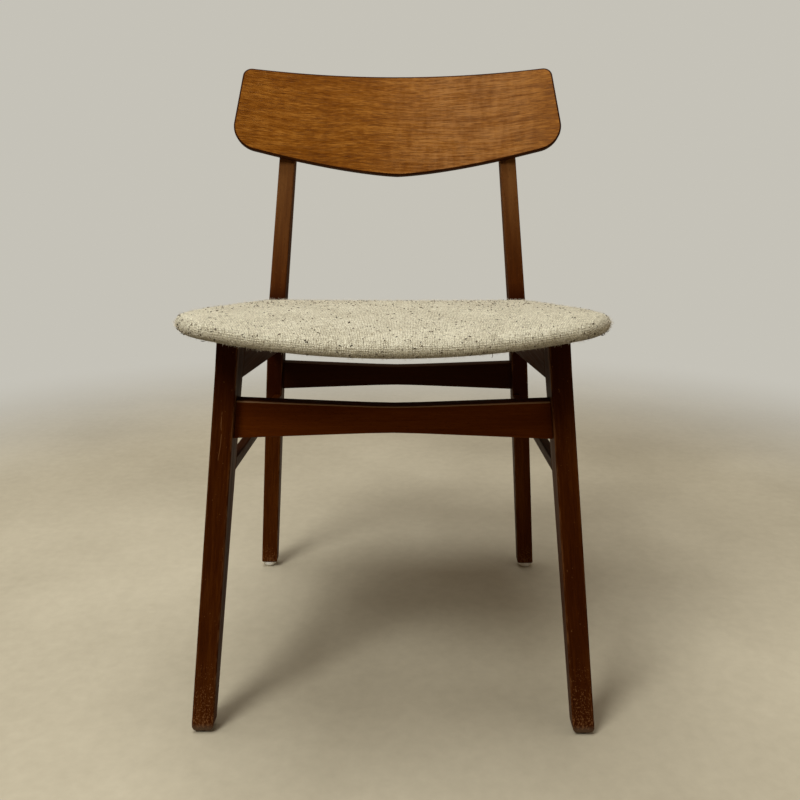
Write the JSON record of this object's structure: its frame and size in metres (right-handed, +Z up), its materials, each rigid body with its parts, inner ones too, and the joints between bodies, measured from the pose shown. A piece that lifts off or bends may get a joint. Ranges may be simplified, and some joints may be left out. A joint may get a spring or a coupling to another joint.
{
  "type": "dining chair",
  "caption": "Side chair with raked, splayed wooden legs, waisted cross pieces, a curved veneered backrest on leaning posts and a crowned upholstered seat.",
  "frame": {"origin": "on the floor, under the middle of the chair's overall width and depth", "axes": "+Z up; -Y is the front, the way the sitter faces; +X is to the right when the chair is seen from the front"},
  "size_m": [0.5008, 0.5664, 0.789],
  "materials": {
    "stained_beech": "dark stained, satin",
    "teak_veneer": "oiled veneer, satin",
    "wool_cloth": "flecked coarse weave",
    "seat_foam": "soft open foam",
    "plywood": "raw",
    "lining_cloth": "thin lining",
    "plain_beech": "raw",
    "steel": "plain zinc",
    "pale_glide": "worn",
    "dark_glide": "worn"
  },
  "bodies": {
    "root": {"backrest_board": "teak_veneer", "backrest_plug_lower_left": "stained_beech", "backrest_plug_lower_right": "stained_beech", "backrest_plug_upper_left": "stained_beech", "backrest_plug_upper_right": "stained_beech", "backrest_screw_lower_left": "steel", "backrest_screw_lower_right": "steel", "backrest_screw_upper_left": "steel", "backrest_screw_upper_right": "steel", "dowel_front_stretcher_lower_left": "plain_beech", "dowel_front_stretcher_lower_right": "plain_beech", "dowel_front_stretcher_upper_left": "plain_beech", "dowel_front_stretcher_upper_right": "plain_beech", "dowel_rear_rail_lower_left": "plain_beech", "dowel_rear_rail_lower_right": "plain_beech", "dowel_rear_rail_upper_left": "plain_beech", "dowel_rear_rail_upper_right": "plain_beech", "dowel_side_rail_left_front_lower": "plain_beech", "dowel_side_rail_left_front_upper": "plain_beech", "dowel_side_rail_left_rear_lower": "plain_beech", "dowel_side_rail_left_rear_upper": "plain_beech", "dowel_side_rail_right_front_lower": "plain_beech", "dowel_side_rail_right_front_upper": "plain_beech", "dowel_side_rail_right_rear_lower": "plain_beech", "dowel_side_rail_right_rear_upper": "plain_beech", "dowel_side_stretcher_left_front": "plain_beech", "dowel_side_stretcher_left_rear": "plain_beech", "dowel_side_stretcher_right_front": "plain_beech", "dowel_side_stretcher_right_rear": "plain_beech", "front_leg_left": "stained_beech", "front_leg_right": "stained_beech", "front_stretcher": "stained_beech", "glide_front_left": "dark_glide", "glide_front_right": "dark_glide", "glide_rear_left": "pale_glide", "glide_rear_right": "pale_glide", "rear_leg_left": "stained_beech", "rear_leg_right": "stained_beech", "rear_rail": "stained_beech", "seat_board": "plywood", "seat_cover": "wool_cloth", "seat_foam": "seat_foam", "seat_lining": "lining_cloth", "seat_screw_front_left": "steel", "seat_screw_front_right": "steel", "seat_screw_rear_left": "steel", "seat_screw_rear_right": "steel", "side_rail_left": "stained_beech", "side_rail_right": "stained_beech", "side_stretcher_left": "stained_beech", "side_stretcher_right": "stained_beech"}
  },
  "joints": []
}
